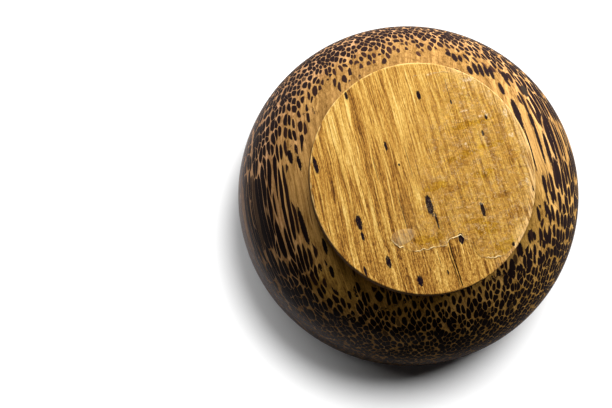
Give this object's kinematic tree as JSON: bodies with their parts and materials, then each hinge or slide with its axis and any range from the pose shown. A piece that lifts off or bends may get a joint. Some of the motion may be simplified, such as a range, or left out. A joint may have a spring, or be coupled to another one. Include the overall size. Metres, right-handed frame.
{
  "type": "wooden bowl",
  "caption": "Round palm-wood bowl with a full shoulder and a slightly turned-in rim, lying mouth down, with a separate light wooden foot disc glued on.",
  "frame": {"origin": "centre of the circle that the rim stands on, on the plane of the rim", "axes": "+Z is the turning axis, from the rim up to the foot, because the bowl lies mouth down as pictured; Y runs along the fibres of the wood; X runs across them"},
  "size_m": [0.12, 0.12, 0.063],
  "materials": {
    "bowl_body": "dark palm bundles in orange-gold ground tissue, satin lacquer",
    "foot_disc": "light golden palm wood with bold streaks, satin lacquer",
    "glue_film": "hardened dark wood glue"
  },
  "bodies": {
    "root": {"bowl_body": "bowl_body", "foot_disc": "foot_disc", "glue_film": "glue_film"}
  },
  "joints": []
}
